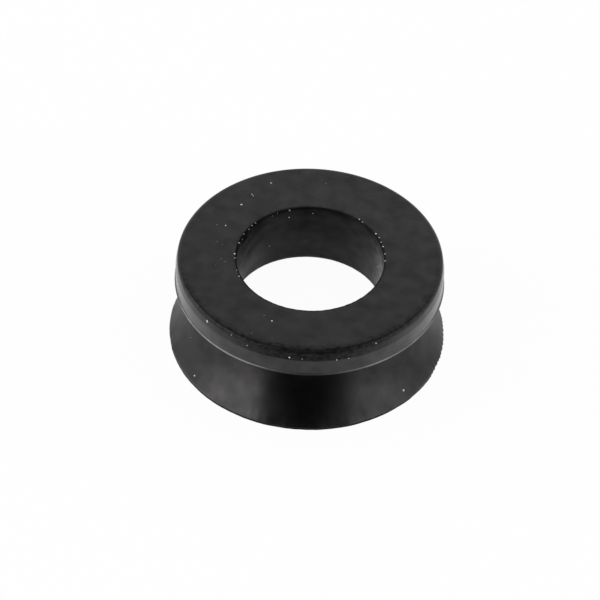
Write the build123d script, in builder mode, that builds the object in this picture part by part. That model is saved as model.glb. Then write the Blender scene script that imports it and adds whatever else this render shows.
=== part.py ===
from build123d import *
import os

# A lip seal for the shaft of a blender's blade, moulded in one piece from black rubber.
# Millimetres. The Z axis runs up the bore, and Z = 0 is the plane that the lip rests on.
# The heel is the flat ring face at the top. The lip flares down and out from the neck.

# The whole seal
height = 6.15

# Bore, which grips the blade's shaft
bore_diameter = 9.0
bore_length = 4.5
foot_radius = 0.4

# Rim, the stiff collar at the heel. Its shoulder leans in a little, down to a crisp line.
rim_diameter = 15.9
rim_thickness = 1.9
shoulder_height = 0.7
shoulder_lean = 0.07
shoulder_edge_radius = 0.12

# V groove between the rim and the lip
neck_thickness = 1.75
groove_rise = 0.4
groove_root_radius = 0.4

# Lip, a skirt that thins towards its edge
lip_diameter = 16.5
lip_edge_height = 0.15
lip_land_width = 0.35
lip_flank_hollow = 0.12
lip_root_thickness = 1.1
hollow_corner_radius = 0.6

# The corners of the section, each a radius from the axis and a height
bore_radius = bore_diameter / 2
rim_radius = rim_diameter / 2
lip_radius = lip_diameter / 2
hollow_depth = height - bore_length
rim_underside = height - rim_thickness

heel_inner = (bore_radius, height)
heel_outer = (rim_radius - shoulder_lean, height)
shoulder_line = (rim_radius, height - shoulder_height)
rim_lower = (rim_radius, rim_underside)
groove_root = (bore_radius + neck_thickness, rim_underside - groove_rise)
lip_edge = (lip_radius, lip_edge_height)
lip_outer = (lip_radius, 0)
lip_inner = (lip_radius - lip_land_width, 0)

# Where the lip leaves the neck, its flank stands at this share of the way up to the groove's root
flank_share = (hollow_depth - lip_edge_height) / (groove_root[1] - lip_edge_height)
flank_radius = lip_radius - flank_share * (lip_radius - groove_root[0])
hollow_corner = (flank_radius - lip_root_thickness, hollow_depth)
bore_foot = (bore_radius, hollow_depth)

with BuildPart() as blade_seal:
    with BuildSketch(Plane.XZ) as section:
        with BuildLine() as outline:
            Polyline(bore_foot, heel_inner, heel_outer, shoulder_line, rim_lower, groove_root)
            SagittaArc(groove_root, lip_edge, -lip_flank_hollow)
            Polyline(lip_edge, lip_outer, lip_inner, hollow_corner, bore_foot)
        make_face()
        for corner, radius in (
            (heel_outer, shoulder_edge_radius),
            (groove_root, groove_root_radius),
            (hollow_corner, hollow_corner_radius),
            (bore_foot, foot_radius),
        ):
            fillet(section.vertices().sort_by_distance(corner)[0], radius)
    revolve(axis=Axis.Z)

blade_seal.part.label = "blade_seal"

os.makedirs("parts", exist_ok=True)
export_step(blade_seal.part, "parts/blade_seal.step")
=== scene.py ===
import bmesh
import bpy
import math
import random
from mathutils import Matrix, Vector, noise
from mathutils.bvhtree import BVHTree


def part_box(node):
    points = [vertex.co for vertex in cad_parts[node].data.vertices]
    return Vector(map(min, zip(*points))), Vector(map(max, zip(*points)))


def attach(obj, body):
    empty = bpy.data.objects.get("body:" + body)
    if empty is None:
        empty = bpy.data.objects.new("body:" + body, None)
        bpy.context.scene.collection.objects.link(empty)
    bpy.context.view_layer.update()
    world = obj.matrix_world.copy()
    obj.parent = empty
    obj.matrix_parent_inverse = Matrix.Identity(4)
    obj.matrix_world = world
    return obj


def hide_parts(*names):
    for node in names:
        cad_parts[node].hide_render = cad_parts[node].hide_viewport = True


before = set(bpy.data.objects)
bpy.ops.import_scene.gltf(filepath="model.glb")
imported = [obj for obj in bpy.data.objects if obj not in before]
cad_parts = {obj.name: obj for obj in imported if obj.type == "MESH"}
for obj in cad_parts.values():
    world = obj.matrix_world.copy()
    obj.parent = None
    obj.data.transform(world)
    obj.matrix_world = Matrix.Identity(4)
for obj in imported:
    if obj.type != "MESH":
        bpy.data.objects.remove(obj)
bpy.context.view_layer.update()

# A black lip seal from the shaft of a blender's blade, heel up on a white bench.
mm = 0.001  # sizes below are in millimetres, and the scene is in metres
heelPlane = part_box("blade_seal")[1].z / mm  # height of the seal's flat top
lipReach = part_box("blade_seal")[1].x / mm  # radius of the lip's edge


def hexToLinear(code):
    channels = [int(code[i:i + 2], 16) / 255 for i in (1, 3, 5)]
    return [c / 12.92 if c <= 0.04045 else ((c + 0.055) / 1.055) ** 2.4 for c in channels] + [1.0]


def addNode(tree, kind, settings=None, links=None):
    node = tree.nodes.new(kind)
    for name, value in (settings or {}).items():
        if isinstance(name, int) or name in node.inputs:
            node.inputs[name].default_value = value
        else:
            setattr(node, name, value)
    for name, source in (links or {}).items():
        tree.links.new(source, node.inputs[name])
    return node


def smooth(low, high, value):
    t = min(max((value - low) / (high - low), 0.0), 1.0)
    return t * t * (3 - 2 * t)


def ownTree(owner):
    owner.use_nodes = True
    owner.node_tree.nodes.clear()
    return owner.node_tree


def addObject(name, data):
    piece = bpy.data.objects.new(name, data)
    bpy.context.scene.collection.objects.link(piece)
    return piece


# Camera, at the photograph's angle
shot = {
    "frame": 600,  # pixels, both ways
    "elevation": 44.4,  # degrees above the bench, of the optical axis
    "roll": 2.11,  # degrees, the right side of the picture lower
    "distance": 246.0,  # from the middle of the heel face
    "lens": 249.9,
    "sensor": 36.0,
    "clip": (10.0, 10000.0),  # nearest and farthest that it sees
    "heelAt": (309.56, 257.20),  # pixel where the middle of the heel face shows
}


def cameraPlace(shot):
    lift, roll = math.radians(shot["elevation"]), math.radians(shot["roll"])
    back = Vector((0, -math.cos(lift), math.sin(lift)))
    up = Vector((0, math.sin(lift), math.cos(lift)))
    right = Vector((1, 0, 0))
    pixel = shot["distance"] * shot["sensor"] / shot["lens"] / shot["frame"]
    dx, dy = (at - shot["frame"] / 2 for at in shot["heelAt"])
    sideways = (dx * math.cos(roll) + dy * math.sin(roll)) * pixel
    downwards = (dy * math.cos(roll) - dx * math.sin(roll)) * pixel
    place = Vector((0, 0, heelPlane)) + back * shot["distance"] - right * sideways + up * downwards
    across = right * math.cos(roll) + up * math.sin(roll)
    upwards = up * math.cos(roll) - right * math.sin(roll)
    return place * mm, across, upwards, back


def addCamera(shot):
    place, across, upwards, back = cameraPlace(shot)
    data = bpy.data.cameras.new("camera")
    data.lens, data.sensor_width = shot["lens"], shot["sensor"]
    data.clip_start, data.clip_end = (reach * mm for reach in shot["clip"])
    camera = addObject("camera", data)
    camera.matrix_world = Matrix((across, upwards, back)).transposed().to_4x4()
    camera.location = place
    bpy.context.scene.camera = camera


def pixelRay(shot, x, y):
    place, across, upwards, back = cameraPlace(shot)
    half, span = shot["frame"] / 2, shot["sensor"] / shot["lens"] / shot["frame"]
    return place, (across * (x - half) * span - upwards * (y - half) * span - back).normalized()


addCamera(shot)
print("camera set")

# Stage: a white bench, a pale room that is dark low down where the camera stands, and two soft side lamps
stage = {
    "benchRadius": 900.0,
    "benchSides": 96,
    "benchDrop": -0.02,  # a hair under the lip, so that the two faces do not fight
    "benchColour": "#f7f7f7",
    "whiteShare": 0.96,  # how far the bench shows plain white, the rest being light and shadow
    "shadeFrom": (18.0, 45.0),  # in front of the seal the bench falls into the photographer's shade
    "nearDim": (9.0, 26.0),  # round the seal its own soft shadow dims what the rubber mirrors of the bench
    "nearShare": 0.90,
    "sideFrom": (4.0, 11.0),  # left and right of the seal the side lamps brighten what it mirrors
    "sideGain": 1.18,
    "roomPlain": 0.7,  # what lights matt surfaces
    "backdrop": (0.70, 1.30),  # what shine shows of the room's white backdrop, at its foot and its top
    "ceiling": 0.55,
    "backdropTop": (40.0, 50.0),  # degrees up, over which the backdrop goes over into the ceiling
    "darkShare": 0.985,
    "darkLift": 4.0,  # degrees, middle of the dark side of the room
    "darkReach": (16.0, 42.0),  # degrees from that middle, fully dark inside and gone outside
    "lampTurns": (-76.0, 76.0),  # degrees round from the camera, left and right
    "lampLift": 18.0,
    "lampAway": 500.0,
    "lampWidths": (790.0, 660.0),
    "lampHeight": 300.0,
    "lampRadiance": (2.4, 1.25),
    "lampColours": ("#fffcf7", "#ffffff"),
}


def shownRays(tree, path):  # rays that show the background: the camera's, and those mirrored or let through
    mirrored = addNode(tree, "ShaderNodeMath", {"operation": "MAXIMUM"},
                       {0: path.outputs["Is Glossy Ray"], 1: path.outputs["Is Transmission Ray"]})
    return addNode(tree, "ShaderNodeMath", {"operation": "MAXIMUM"},
                   {0: path.outputs["Is Camera Ray"], 1: mirrored.outputs[0]}).outputs[0]


# Board painted matt white: the eye sees an even white, and the black rubber mirrors it as a soft grey. For
# what the rubber mirrors and for the light the bench throws back, that white carries painted shade in front
# of the seal and round it, and a painted pool of light at its sides.
def benchMaterial(stage):
    material = bpy.data.materials.new("painted bench, matt white")
    tree = ownTree(material)
    path = addNode(tree, "ShaderNodeLightPath")
    place = addNode(tree, "ShaderNodeTexCoord").outputs["Object"]
    parts = addNode(tree, "ShaderNodeSeparateXYZ", {}, {0: place}).outputs
    inFront = addNode(tree, "ShaderNodeMath", {"operation": "MULTIPLY", 1: -1.0}, {0: parts["Y"]}).outputs[0]
    away = addNode(tree, "ShaderNodeVectorMath", {"operation": "LENGTH"}, {0: place}).outputs["Value"]
    sideways = addNode(tree, "ShaderNodeMath", {"operation": "ABSOLUTE"}, {0: parts["X"]}).outputs[0]
    mirrored = None
    # painted shade in front of the seal and round it, and a painted pool of light at its sides; the camera
    # still sees an even white
    for distance, edges, first, last in (
        (inFront, stage["shadeFrom"], 1.0, 0.0),
        (away, stage["nearDim"], stage["nearShare"], 1.0),
        (sideways, stage["sideFrom"], 1.0, stage["sideGain"]),
    ):
        ramp = addNode(tree, "ShaderNodeMapRange",
                       {"interpolation_type": "SMOOTHSTEP", "From Min": edges[0] * mm,
                        "From Max": edges[1] * mm, "To Min": first, "To Max": last},
                       {"Value": distance}).outputs[0]
        if mirrored:
            ramp = addNode(tree, "ShaderNodeMath", {"operation": "MULTIPLY"},
                           {0: mirrored, 1: ramp}).outputs[0]
        mirrored = ramp
    level = addNode(tree, "ShaderNodeMix", {"data_type": "FLOAT", 3: 1.0},
                    {0: path.outputs["Is Camera Ray"], 2: mirrored}).outputs[0]
    colour = addNode(tree, "ShaderNodeMix",
                     {"data_type": "RGBA", 6: (0, 0, 0, 1), 7: hexToLinear(stage["benchColour"])},
                     {0: level}).outputs[2]
    paint = addNode(tree, "ShaderNodeBsdfDiffuse", {}, {"Color": colour})
    white = addNode(tree, "ShaderNodeEmission", {}, {"Strength": level})
    share = addNode(tree, "ShaderNodeMath", {"operation": "MULTIPLY", 1: stage["whiteShare"]},
                    {0: shownRays(tree, path)}).outputs[0]
    mixed = addNode(tree, "ShaderNodeMixShader", {}, {0: share, 1: paint.outputs[0], 2: white.outputs[0]})
    addNode(tree, "ShaderNodeOutputMaterial", {}, {"Surface": mixed.outputs[0]})
    return material


def addBench(stage):
    reach, sides = stage["benchRadius"] * mm, stage["benchSides"]
    turns = [math.tau * i / sides for i in range(sides)]
    ring = [(reach * math.cos(turn), reach * math.sin(turn), stage["benchDrop"] * mm) for turn in turns]
    mesh = bpy.data.meshes.new("bench")
    mesh.from_pydata(ring, [], [list(range(sides))])
    mesh.materials.append(benchMaterial(stage))
    bench = addObject("bench", mesh)


def addRoom(stage):
    world = bpy.data.worlds.new("pale room")
    bpy.context.scene.world = world
    tree = ownTree(world)
    towards = addNode(tree, "ShaderNodeTexCoord").outputs["Generated"]
    path = addNode(tree, "ShaderNodeLightPath")
    height = addNode(tree, "ShaderNodeSeparateXYZ", {}, {0: towards}).outputs["Z"]
    low, high = (math.sin(math.radians(edge)) for edge in stage["backdropTop"])
    foot, top = stage["backdrop"]
    backdrop = addNode(tree, "ShaderNodeMapRange", {"From Max": low, "To Min": foot, "To Max": top},
                       {"Value": height}).outputs[0]
    above = addNode(tree, "ShaderNodeMapRange",
                    {"interpolation_type": "SMOOTHSTEP", "From Min": low, "From Max": high},
                    {"Value": height}).outputs[0]
    walls = addNode(tree, "ShaderNodeMix", {"data_type": "FLOAT", 3: stage["ceiling"]},
                    {0: above, 2: backdrop}).outputs[0]
    lift = math.radians(stage["darkLift"])
    front = addNode(tree, "ShaderNodeVectorMath",
                    {"operation": "DOT_PRODUCT", 1: (0, -math.cos(lift), math.sin(lift))}, {0: towards})
    inner, outer = (math.cos(math.radians(edge)) for edge in stage["darkReach"])
    lit = addNode(tree, "ShaderNodeMapRange",
                  {"interpolation_type": "SMOOTHSTEP", "From Min": outer, "From Max": inner,
                   "To Min": 1.0, "To Max": 1.0 - stage["darkShare"]},
                  {"Value": front.outputs["Value"]}).outputs[0]
    room = addNode(tree, "ShaderNodeMix", {"data_type": "FLOAT", 2: stage["roomPlain"]},
                   {0: shownRays(tree, path), 3: walls}).outputs[0]
    shaded = addNode(tree, "ShaderNodeMath", {"operation": "MULTIPLY"}, {0: room, 1: lit}).outputs[0]
    level = addNode(tree, "ShaderNodeMix", {"data_type": "FLOAT", 3: 1.0},
                    {0: path.outputs["Is Camera Ray"], 2: shaded}).outputs[0]
    sky = addNode(tree, "ShaderNodeBackground", {"Color": (1, 1, 1, 1)}, {"Strength": level})
    addNode(tree, "ShaderNodeOutputWorld", {}, {"Surface": sky.outputs[0]})


def addLamps(stage):
    tall, lift = stage["lampHeight"] * mm, math.radians(stage["lampLift"])
    for i, name in enumerate(("left soft lamp", "right soft lamp")):
        wide, swing = stage["lampWidths"][i] * mm, math.radians(stage["lampTurns"][i])
        data = bpy.data.lights.new(name, "AREA")
        data.shape = "RECTANGLE"
        data.size, data.size_y = wide, tall
        data.energy = stage["lampRadiance"][i] * math.pi * wide * tall
        data.color = hexToLinear(stage["lampColours"][i])[:3]
        lamp = addObject(name, data)
        back = Vector((math.sin(swing) * math.cos(lift), -math.cos(swing) * math.cos(lift), math.sin(lift)))
        lamp.location = back * stage["lampAway"] * mm
        lamp.rotation_mode = "QUATERNION"
        lamp.rotation_quaternion = back.to_track_quat("Z", "Y")


addBench(stage)
addRoom(stage)
addLamps(stage)
print("stage set")

# The seal's section, turned about Z. Radii from the axis and heights from the bench.
seal = {
    "boreRadius": 4.46,
    "boreLength": 4.5,
    "mouthRadius": 0.06,
    "mouthIn": 0.10,  # the bore narrows to its mouth by this much
    "mouthDepth": 1.2,  # and over this height, where the bore's dullness, painted shade, is deepest too
    "footRadius": 0.4,
    "rimRadius": 7.95,
    "rimThickness": 1.9,
    "shoulderHeight": 0.7,
    "shoulderLean": 0.10,
    "shoulderEdgeRadius": 0.22,
    "rimLowerRadius": 0.08,
    "beadHeight": 0.13,  # thin bead of flash along the rim's lower edge
    "beadReach": 0.055,
    "beadPeak": 0.45,  # share of its height at which it stands out most
    "neckThickness": 1.75,
    "grooveRise": 0.4,
    "grooveRootRadius": 0.4,
    "lipEdgeHeight": 0.15,
    "lipLandWidth": 0.35,
    "lipFlankHollow": 0.12,
    "lipRootThickness": 1.1,
    "hollowCornerRadius": 0.6,
    "heelSink": 0.012,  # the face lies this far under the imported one, so that dust on it stays in the box
    "heelInset": 0.1,  # from the bore's mouth to the heel's first ring of the mesh
    "wearFade": 0.30,  # width of the heel's fringe, over which the worn edge fades into the skin
    "finishGap": 0.03,  # between two rings of the mesh where the finish changes at once
    "turns": 640,  # mesh columns round the ring
    "sharpFrom": 32.0,  # degrees, above which an edge of the mesh shows as an edge
    # Each stretch of the section, from the heel round: how many mesh steps it has, then how worn and how
    # dull the rubber is at its start and its end. 0 is the plain skin, and a dullness below 0 is shinier.
    # The dullness is partly painted shade, in the bore and on the shoulder's near side, and below 0 on the
    # bead it is a painted highlight.
    "stretches": {
        "heel": (20, (0.0, 0.0), (0.0, 0.0)),
        "heelFringe": (5, (0.0, 0.6), (0.01, 0.25)),
        "heelEdge": (6, (0.6, 1.0), (0.35, 0.35)),
        "shoulder": (8, (1.0, 1.0), (0.15, 0.01)),
        "band": (9, (0.0, 0.0), (-0.5, -0.5)),
        "bead": (3, (0.0, 0.0), (-2.4, -2.4)),  # its shine raised far over the skin's, a painted highlight along the real bead
        "beadUnder": (2, (0.0, 0.0), (-0.6, -0.6)),
        "rimLower": (3, (0.0, 0.0), (0.0, 0.0)),
        "underside": (4, (0.0, 0.0), (0.0, 0.0)),
        "root": (8, (0.0, 0.0), (0.0, 0.0)),
        "flank": (26, (0.0, 0.0), (0.0, 0.0)),
        "lipTop": (1, (0.0, 0.0), (0.0, 0.0)),
        "lipEdge": (2, (1.0, 1.0), (0.7, 0.9)),
        "land": (3, (1.0, 0.3), (0.9, 0.9)),
        "hollow": (5, (0.0, 0.0), (0.9, 0.9)),
        "foot": (5, (0.0, 0.6), (0.9, 0.6)),
        "bore": (14, (0.0, 0.0), (0.5, 0.72)),
        "narrowing": (8, (0.0, 0.0), (0.74, 0.98)),
        "mouth": (4, (0.6, 1.0), (0.98, 0.7)),
    },
    # Places round the ring are shares of its radius: towards the camera, or out to the left and right.
    "tornAndShadedFront": (-0.05, 0.4),  # towards the camera: the shoulder's tear, and the painted shade laid on it as dullness, are on its near side only
    "tearAndShadeSides": (0.3, 0.8),  # out to the sides: there the tear and its painted shade die out
    "tornDrop": (0.05, 0.45),  # below the heel, over which it does so
    "tearAndShadeLoss": (0.85, 0.5),  # wear, and dullness that is painted shade, that it loses there
    "pitSize": 0.24,
    "pitShare": (0.6, 0.2),  # how much the pits count in the middle and at the sides
    "pitSpread": (0.02, 0.30),  # of the noise, from no pit to a whole one
    "shadeGoneAtSides": 0.8,  # share of the torn shoulder's dullness, which is painted shade, that is gone at the sides
    "shadedFlankSides": (0.6, 0.9),  # out to the sides: there the lip's flank is duller, which is painted shade
    "flankSideShade": 0.42,
    "borePatches": (6.0, 2.2),  # patches of shine in the bore, per radian and per mm of height
    "borePatchDull": 0.16,
    "boreRight": (0.86, 0.99),  # out to the right: there a painted highlight makes the bore its shiniest
    "boreRightTurn": 4.0,  # degrees from +X, of its middle
    "boreRightDrop": 0.7,  # under the heel, over which the shine sets in
    "boreRightShine": 0.6,
    "boreRightEven": 0.7,  # share of that shine which is steady, the rest being patches half the size
    "boreLeft": (0.45, 0.95),  # out to the left: there painted shade makes the bore its dullest
    "boreLeftRise": (2.6, 3.6),  # heights over which it gets so
    "boreLeftShade": 0.3,
    "boreDullest": 1.18,  # no place in the bore is duller than this
    "lumpSize": 0.28,  # of the torn and worn edges
    "lumpDepth": 0.016,
    "lumpSpread": (0.3, 1.2),  # mean and greatest share of that depth
    "lumpAbove": 1.0,  # the lip's edge below is rippled, and not lumpy
    "rippleLengths": (1.1, 0.33),  # of the lip's trimmed edge
    "rippleDepths": (0.032, 0.013),
    "rippleShares": (0.25, 0.9),  # of each depth, steady and by the noise
    "rippleFade": (0.1, 1.0),  # heights over which the ripples fade out up the flank
    "toothTurns": (-24.0, 8.0),  # degrees from +X between which the trimmed edge is toothed
    "toothEase": 0.1,  # radians, over which the teeth begin and end
    "toothLength": 0.36,
    "toothDepth": 0.05,
    "toothFade": (0.05, 0.5),
    "toothDrift": 2.0,  # radians by which the noise sets the teeth out of step
    "rimShift": 0.046,  # to +X, as the mould's halves do not quite line up
    "mouthShift": -0.075,  # the bore's mouth, along Y
    "shiftHeights": (2.5, 4.0),  # where the shifts set in, from the lip up
    "mouthShiftFade": (4.7, 5.6),  # radii over which the mouth's shift fades out
}
tornStretches = ("heelFringe", "heelEdge", "shoulder")
boreStretches = ("foot", "bore", "narrowing", "mouth")


def cornerArc(before, corner, after, radius, steps):
    toBefore, toAfter = (before - corner).normalized(), (after - corner).normalized()
    half = toBefore.angle(toAfter) / 2
    centre = corner + (toBefore + toAfter).normalized() * (radius / math.sin(half))
    reach = radius / math.tan(half)
    first, last = corner + toBefore * reach - centre, corner + toAfter * reach - centre
    sweep = -first.angle_signed(last)
    return [centre + Matrix.Rotation(sweep * i / steps, 2) @ first for i in range(steps + 1)]


def bowedLine(start, end, hollow, steps):
    side = Vector((end.y - start.y, start.x - end.x)).normalized()
    return [start.lerp(end, i / steps) + side * (4 * hollow * i / steps * (1 - i / steps))
            for i in range(steps + 1)]


def sealSection(size):  # its points in order, each with its wear, its dullness, partly painted shade, and its stretch's name
    top, bore, rim = heelPlane - size["heelSink"], size["boreRadius"], size["rimRadius"]
    ceiling = heelPlane - size["boreLength"]
    underside = heelPlane - size["rimThickness"]
    mouth, foot = Vector((bore - size["mouthIn"], top)), Vector((bore, ceiling))
    narrowing = Vector((bore, top - size["mouthDepth"]))
    heelEdge = Vector((rim - size["shoulderLean"], top))
    shoulderLine = Vector((rim, heelPlane - size["shoulderHeight"]))
    rimLower = Vector((rim, underside))
    root = Vector((bore + size["neckThickness"], underside - size["grooveRise"]))
    lipEdge, lipFoot = Vector((lipReach, size["lipEdgeHeight"])), Vector((lipReach, 0))
    lipInner = Vector((lipReach - size["lipLandWidth"], 0))
    share = (ceiling - lipEdge.y) / (root.y - lipEdge.y)
    hollow = Vector((lipReach - share * (lipReach - root.x) - size["lipRootThickness"], ceiling))
    stretches = size["stretches"]
    steps = {name: stretch[0] for name, stretch in stretches.items()}
    path = []

    def follow(name, points):
        _, wear, dullAndShade = stretches[name]
        for i, point in enumerate(points):
            t = i / max(len(points) - 1, 1)
            if not path or (point - path[-1][0]).length > 1e-4:  # a stretch starts where the last one ended
                worn, dulledAndShaded = (first + (last - first) * t for first, last in (wear, dullAndShade))
                path.append((point, worn, dulledAndShaded, name))

    def straight(name, start, end):
        follow(name, [start.lerp(end, i / steps[name]) for i in range(steps[name] + 1)])

    mouthArc = cornerArc(narrowing, mouth, heelEdge, size["mouthRadius"], steps["mouth"])
    heelArc = cornerArc(mouth, heelEdge, shoulderLine, size["shoulderEdgeRadius"], steps["heelEdge"])
    lowerArc = cornerArc(shoulderLine, rimLower, root, size["rimLowerRadius"], steps["rimLower"])
    rootArc = cornerArc(rimLower, root, lipEdge, size["grooveRootRadius"], steps["root"])
    hollowArc = cornerArc(lipInner, hollow, foot, size["hollowCornerRadius"], steps["hollow"])
    footArc = cornerArc(hollow, foot, narrowing, size["footRadius"], steps["foot"])
    flank = bowedLine(rootArc[-1], lipEdge, size["lipFlankHollow"], steps["flank"])
    fringe, inset = Vector((size["wearFade"], 0)), Vector((size["heelInset"], 0))
    gap = Vector((0, size["finishGap"]))
    beadTop = lowerArc[0] + Vector((0, size["beadHeight"]))
    beadEdge = lowerArc[0] + Vector((size["beadReach"], size["beadHeight"] * size["beadPeak"]))
    straight("heel", mouthArc[-1] + inset, heelArc[0] - fringe)
    straight("heelFringe", heelArc[0] - fringe, heelArc[0])
    follow("heelEdge", heelArc)
    straight("shoulder", heelArc[-1], shoulderLine)
    straight("band", shoulderLine - gap, beadTop)
    straight("bead", beadTop, beadEdge)
    straight("beadUnder", beadEdge - gap / 2, lowerArc[0])
    follow("rimLower", lowerArc)
    straight("underside", lowerArc[-1], rootArc[0])
    follow("root", rootArc)
    follow("flank", flank[:-1])
    follow("lipTop", [lipEdge])
    straight("lipEdge", lipEdge, lipFoot)
    straight("land", lipFoot, lipInner)
    follow("hollow", hollowArc)
    follow("foot", footArc)
    straight("bore", footArc[-1], narrowing)
    straight("narrowing", narrowing + gap, mouthArc[0])
    follow("mouth", mouthArc)
    return path


def onRing(turn, radius, height):
    return Vector((radius * math.cos(turn), radius * math.sin(turn), height))


# The shoulder's wear and dullness stay on the side facing the camera and fade at the sides: wear and lumps,
# with painted shade
def shadedTornShoulder(size, turn, height, wear, dullAndShade):
    inFront = smooth(*size["tornAndShadedFront"], -math.sin(turn))
    dying = smooth(*size["tearAndShadeSides"], abs(math.cos(turn)))
    dying *= smooth(*(heelPlane - drop for drop in size["tornDrop"]), height)
    wearLoss, dullLoss = size["tearAndShadeLoss"]
    return wear * inFront * (1 - wearLoss * dying), dullAndShade * inFront - dullLoss * dying


def pitted(size, turn, radius, height, dullAndShade):  # the torn shoulder's dullness, painted shade as well as wear, with its dark pits
    side, (middle, ends) = abs(math.cos(turn)), size["pitShare"]
    at = onRing(turn, radius, height) / size["pitSize"]
    pits = smooth(*size["pitSpread"], noise.noise(at) + 0.4 * noise.noise(at * 2.1))  # coarse and fine
    share = smooth(*size["tornAndShadedFront"], -math.sin(turn)) * (middle + (ends - middle) * side)
    return min(dullAndShade * (1 - size["shadeGoneAtSides"] * side) + share * pits, 1)


# Painted shade inside the bore, as dullness: random patches, a painted highlight at its right end and deeper
# painted shade at its left end
def boreDullAndShade(size, turn, height, dullAndShade):
    at = onRing(turn, size["borePatches"][0], height * size["borePatches"][1])
    rightEnd = smooth(*size["boreRight"], math.cos(turn - math.radians(size["boreRightTurn"])))
    rightEnd *= smooth(heelPlane, heelPlane - size["boreRightDrop"], height)
    leftEnd = smooth(*size["boreLeft"], -math.cos(turn)) * smooth(*size["boreLeftRise"], height)
    shining = size["boreRightShine"] * rightEnd * (size["boreRightEven"] + noise.noise(at * 2))
    patchy = dullAndShade + size["borePatchDull"] * noise.noise(at) - shining + size["boreLeftShade"] * leftEnd
    return min(max(patchy, 0), size["boreDullest"])


def lumpDip(size, turn, radius, height, wear):
    at = onRing(turn, radius, height) / size["lumpSize"]
    mean, most = size["lumpSpread"]
    lumps = noise.noise(at) + 0.5 * noise.noise(at * 2.3)  # coarse and fine
    return wear * size["lumpDepth"] * min(max(mean + lumps, 0), most)


def lipRipple(size, turn, height):
    around = onRing(turn, lipReach, 0)
    steady, varied = size["rippleShares"]
    ripple = sum(depth * max(steady + varied * noise.noise(around / length), 0)
                 for length, depth in zip(size["rippleLengths"], size["rippleDepths"]))
    low, high = (math.radians(edge) for edge in size["toothTurns"])
    ease = size["toothEase"]
    offset = (turn + math.pi) % math.tau - math.pi
    toothed = smooth(low - ease, low + ease, offset) * (1 - smooth(high - ease, high + ease, offset))
    phase = math.pi * offset * lipReach / size["toothLength"] + size["toothDrift"] * noise.noise(around)
    tooth = toothed * size["toothDepth"] * abs(math.sin(phase))
    smoothAbove, evenAbove = (smooth(*size[fade], height) for fade in ("rippleFade", "toothFade"))
    return (1 - smoothAbove) * ripple + (1 - evenAbove) * tooth


# One point of the section at one place round the ring: where it lies, how worn it is, and how dull, that
# dullness being partly painted shade.
# out is the way that the section faces there.
def turnedPoint(size, turn, point, out, wear, dullAndShade, name):
    radius, height = point
    if name in tornStretches:
        wear, dullAndShade = shadedTornShoulder(size, turn, height, wear, dullAndShade)
    # painted shade on the lip's flank, out at its left and right
    elif name in ("root", "flank") and out.y > 0:
        dullAndShade = size["flankSideShade"] * smooth(*size["shadedFlankSides"], abs(math.cos(turn)))
    if wear and height > size["lumpAbove"]:
        dip = lumpDip(size, turn, radius, height, wear)
        radius, height = radius - out.x * dip, height - out.y * dip
    if height < size["rippleFade"][1]:
        radius -= lipRipple(size, turn, height)
    if name in boreStretches:
        dullAndShade = boreDullAndShade(size, turn, height, dullAndShade)
    elif name in tornStretches and dullAndShade > 0:
        dullAndShade = pitted(size, turn, radius, height, dullAndShade)
    upper = smooth(*size["shiftHeights"], height)
    along = size["rimShift"] * upper
    across = size["mouthShift"] * upper * (1 - smooth(*size["mouthShiftFade"], radius))
    place = (radius * math.cos(turn) + along, radius * math.sin(turn) + across, height)
    return [measure * mm for measure in place], wear, dullAndShade


def addSeal(size):
    path, turns = sealSection(size), size["turns"]
    count = len(path)
    places, wears, dullAndShadeValues, faces = [], [], [], []
    for i, (point, wear, dullAndShade, name) in enumerate(path):
        run = (path[(i + 1) % count][0] - path[i - 1][0]).normalized()
        out = Vector((-run.y, run.x))
        here, ahead = i * turns, (i + 1) % count * turns
        for j in range(turns):
            found = turnedPoint(size, math.tau * j / turns, point, out, wear, dullAndShade, name)
            for values, value in zip((places, wears, dullAndShadeValues), found):
                values.append(value)
            k = (j + 1) % turns
            faces.append((here + j, ahead + j, ahead + k, here + k))
    mesh = bpy.data.meshes.new("blade_seal_rubber")
    mesh.from_pydata(places, [], faces)
    for name, values in (("wear", wears), ("dullAndShade", dullAndShadeValues)):
        mesh.attributes.new(name, "FLOAT", "POINT").data.foreach_set("value", values)
    mesh.shade_smooth()
    mesh.set_sharp_from_angle(angle=math.radians(size["sharpFrom"]))
    print("seal turned:", count, "section points,", 2 * len(faces), "triangles")
    return addObject("blade_seal_rubber", mesh), BVHTree.FromPolygons(places, faces)


# Nitrile rubber, compression moulded black: a satin skin with almost no colour of its own, so that what the
# eye reads is a soft reflection of the room. Where the mould's flash was torn off, the edges are rough and
# lumpy, and go dull and blacker; on the shoulder that dullness is painted shade as well as wear. The
# dullness also paints shade in the bore and on the flank's sides, and a highlight on the bead.
rubberLook = {
    "skin": "#030303",
    "bloom": "#070606",  # faint bloom that comes out of the rubber in patches
    "tornEdge": "#040304",
    "bloomSize": 1.6,
    "fleckSize": 0.9,  # of the faint unevenness in the shine
    "fleckSpread": (0.3, 0.7),
    "grainSize": 0.06,  # moulded grain, drawn about twice as coarse as the real one so that it shows
    "grainHeight": 0.005,
    "lumpSize": 0.22,
    "lumpHeight": 0.02,
    "mottle": (0.25, 0.50),  # of the lumps' noise, from whole skin to torn
    "ior": 1.5,
    "skinRoughness": (0.19, 0.25),
    "tornRoughness": 0.42,
    "dullRoughness": 0.5,  # where the skin is dull, and where its dullness is painted shade, as in the bore
    "skinSpecular": (0.26, 0.42),
    "tornSpecular": 0.24,
    "dullAndShadedSpecular": 0.06,
    "tints": ("#fff7fb", "#f6fbff"),  # of the shine, in patches, a breath of purple and of blue
}


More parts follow.
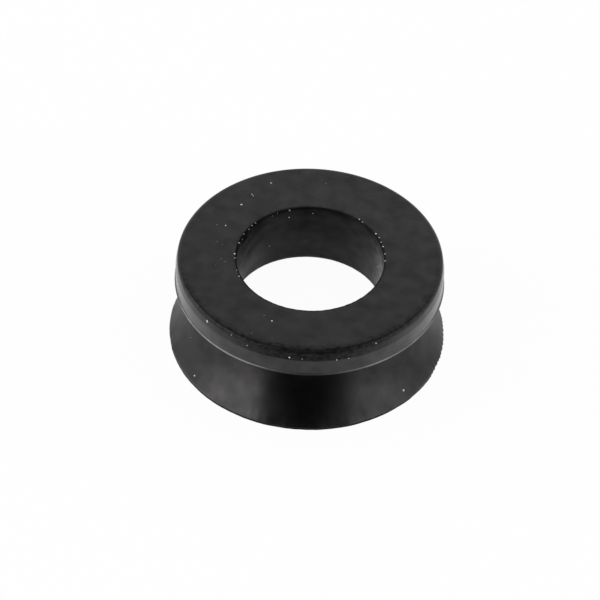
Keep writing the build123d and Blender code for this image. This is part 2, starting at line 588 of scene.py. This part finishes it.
def rubberMaterial(look):
    material = bpy.data.materials.new("nitrile rubber, compression moulded")
    tree = ownTree(material)
    place = addNode(tree, "ShaderNodeTexCoord").outputs["Object"]
    wear, dullAndShade = (addNode(tree, "ShaderNodeAttribute", {"attribute_name": name}).outputs["Fac"]
                  for name in ("wear", "dullAndShade"))
    patches, flecks, grain, lumps = (
        addNode(tree, "ShaderNodeTexNoise", {"Scale": 1 / (look[size] * mm), "Detail": detail},
                {"Vector": place}).outputs["Fac"]
        for size, detail in (("bloomSize", 4), ("fleckSize", 7), ("grainSize", 3), ("lumpSize", 3)))

    mottle = addNode(tree, "ShaderNodeMapRange",
                     {"From Min": look["mottle"][0], "From Max": look["mottle"][1]}, {"Value": lumps})
    # the torn mask: wear, and on the shoulder's near side painted shade
    tornAndShaded = addNode(tree, "ShaderNodeMath", {"operation": "MULTIPLY"},
                   {0: wear, 1: mottle.outputs[0]}).outputs[0]
    skin = addNode(tree, "ShaderNodeMix",
                   {"data_type": "RGBA", 6: hexToLinear(look["skin"]), 7: hexToLinear(look["bloom"])},
                   {0: patches}).outputs[2]
    colour = addNode(tree, "ShaderNodeMix", {"data_type": "RGBA", 7: hexToLinear(look["tornEdge"])},
                     {0: tornAndShaded, 6: skin}).outputs[2]

    satin = addNode(tree, "ShaderNodeMapRange",
                    {"To Min": look["skinRoughness"][0], "To Max": look["skinRoughness"][1]},
                    {"Value": patches}).outputs[0]
    shine = addNode(tree, "ShaderNodeMapRange",
                    {"From Min": look["fleckSpread"][0], "From Max": look["fleckSpread"][1],
                     "To Min": look["skinSpecular"][0], "To Max": look["skinSpecular"][1]},
                    {"Value": flecks}).outputs[0]
    roughness = addNode(tree, "ShaderNodeMix", {"data_type": "FLOAT", 3: look["tornRoughness"]},
                        {0: tornAndShaded, 2: satin}).outputs[0]
    specular = addNode(tree, "ShaderNodeMix", {"data_type": "FLOAT", 3: look["tornSpecular"]},
                       {0: tornAndShaded, 2: shine}).outputs[0]
    roughness = addNode(tree, "ShaderNodeMix", {"data_type": "FLOAT", 3: look["dullRoughness"]},
                        {0: dullAndShade, 2: roughness}).outputs[0]
    specular = addNode(tree, "ShaderNodeMix",  # not clamped, so that a dullness below 0 shines more
                       {"data_type": "FLOAT", "clamp_factor": False, 3: look["dullAndShadedSpecular"]},
                       {0: dullAndShade, 2: specular}).outputs[0]
    tint = addNode(tree, "ShaderNodeMix",
                   {"data_type": "RGBA", 6: hexToLinear(look["tints"][0]), 7: hexToLinear(look["tints"][1])},
                   {0: patches}).outputs[2]

    fine = addNode(tree, "ShaderNodeBump", {"Strength": 1.0, "Distance": look["grainHeight"] * mm},
                   {"Height": grain}).outputs[0]
    rough = addNode(tree, "ShaderNodeBump", {"Distance": look["lumpHeight"] * mm},
                    {"Strength": wear, "Height": lumps, "Normal": fine}).outputs[0]
    surface = addNode(tree, "ShaderNodeBsdfPrincipled", {"IOR": look["ior"]},
                      {"Base Color": colour, "Roughness": roughness, "Specular IOR Level": specular,
                       "Specular Tint": tint, "Normal": rough})
    addNode(tree, "ShaderNodeOutputMaterial", {}, {"Surface": surface.outputs[0]})
    return material


rubber, skinTree = addSeal(seal)
rubber.data.materials.append(rubberMaterial(rubberLook))
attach(rubber, "root")
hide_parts("blade_seal")

# Dust, grains of pale grit that cling to the rubber, each given by the pixel where it shows
dust = {
    "grains": [  # pixel x, pixel y, width
        (271.0, 183.0, 0.11), (241.5, 204.6, 0.13), (225.7, 225.4, 0.09), (289.6, 210.4, 0.12),
        (289.0, 217.5, 0.10), (312.7, 213.5, 0.09), (207.3, 321.3, 0.17), (272.0, 320.9, 0.11),
        (289.4, 357.5, 0.11), (302.0, 359.0, 0.06), (336.8, 359.9, 0.08), (348.7, 358.5, 0.07),
        (376.0, 343.2, 0.09), (194.5, 375.7, 0.11), (403.5, 390.3, 0.16), (269.4, 246.2, 0.07),
        (252.0, 194.2, 0.08), (253.2, 195.8, 0.07), (217.0, 224.5, 0.035), (217.0, 241.5, 0.03),
        (222.0, 244.5, 0.03), (221.0, 258.5, 0.03), (225.0, 261.5, 0.03), (215.5, 265.0, 0.03),
        (231.5, 335.0, 0.06), (247.0, 345.5, 0.06), (251.5, 333.0, 0.04), (264.0, 315.5, 0.04),
        (326.0, 183.5, 0.03), (348.0, 176.5, 0.03), (277.5, 213.5, 0.05), (272.3, 216.3, 0.06),
        (255.6, 222.9, 0.06), (252.0, 225.5, 0.07), (249.0, 229.5, 0.08), (244.0, 234.0, 0.06),
        (242.3, 239.3, 0.07), (239.0, 242.8, 0.10), (234.7, 253.8, 0.11), (234.9, 258.0, 0.07),
        (236.5, 270.0, 0.06), (239.2, 276.3, 0.09), (359.5, 219.3, 0.09), (362.5, 222.0, 0.07),
        (375.9, 233.7, 0.12), (379.2, 237.5, 0.08), (381.3, 242.3, 0.07), (383.0, 246.5, 0.10),
        (384.9, 254.0, 0.09), (385.1, 261.0, 0.09), (378.2, 266.5, 0.09), (191.0, 337.5, 0.04),
    ],
    "uneven": (0.75, 1.15),  # how far a grain's corners reach, in half widths
    "flatness": 0.35,
    "seed": 7,
    "colours": ("#b9b5ad", "#d9d7d2"),  # of one grain and the next
    "patchSize": 0.03,
    "roughness": 0.7,
}


# Mineral grit that has settled and dried on: matt, pale and a little uneven in colour.
def dustMaterial(look):
    material = bpy.data.materials.new("mineral dust, settled")
    tree = ownTree(material)
    place = addNode(tree, "ShaderNodeTexCoord").outputs["Object"]
    patches = addNode(tree, "ShaderNodeTexNoise", {"Scale": 1 / (look["patchSize"] * mm)},
                      {"Vector": place}).outputs["Fac"]
    dark, pale = (hexToLinear(code) for code in look["colours"])
    tint = addNode(tree, "ShaderNodeMix", {"data_type": "RGBA", 6: dark, 7: pale}, {0: patches}).outputs[2]
    surface = addNode(tree, "ShaderNodeBsdfPrincipled", {"Roughness": look["roughness"]},
                      {"Base Color": tint})
    addNode(tree, "ShaderNodeOutputMaterial", {}, {"Surface": surface.outputs[0]})
    return material


def addDust(look, tree):
    draw = random.Random(look["seed"])
    corners = [Vector((x, y, z)).normalized() for x in (-1, 0, 1) for y in (-1, 0, 1) for z in (-1, 0, 1)
               if (x, y, z) != (0, 0, 0)]
    grains = bmesh.new()
    for x, y, width in look["grains"]:
        start, direction = pixelRay(shot, x, y)
        hit, normal, _, _ = tree.ray_cast(start, direction)
        if hit is None:
            print("no surface under the grain at", x, y)
            continue
        if normal.dot(direction) > 0:
            normal = -normal
        turn = normal.to_track_quat("Z", "Y").to_matrix()
        own = []
        for corner in corners:
            reach = corner * width / 2 * mm * draw.uniform(*look["uneven"])
            reach.z *= look["flatness"]
            spot = hit + turn @ reach
            spot.z = min(spot.z, heelPlane * mm)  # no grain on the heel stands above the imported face
            own.append(grains.verts.new(spot))
        bmesh.ops.convex_hull(grains, input=own)
    for loose in [corner for corner in grains.verts if not corner.link_faces]:
        grains.verts.remove(loose)
    mesh = bpy.data.meshes.new("dust_grains")
    grains.to_mesh(mesh)
    grains.free()
    mesh.materials.append(dustMaterial(look))
    return addObject("dust_grains", mesh)


grit = addDust(dust, skinTree)
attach(grit, "root")
print("dust settled")

bpy.context.scene.view_settings.view_transform = "Standard"
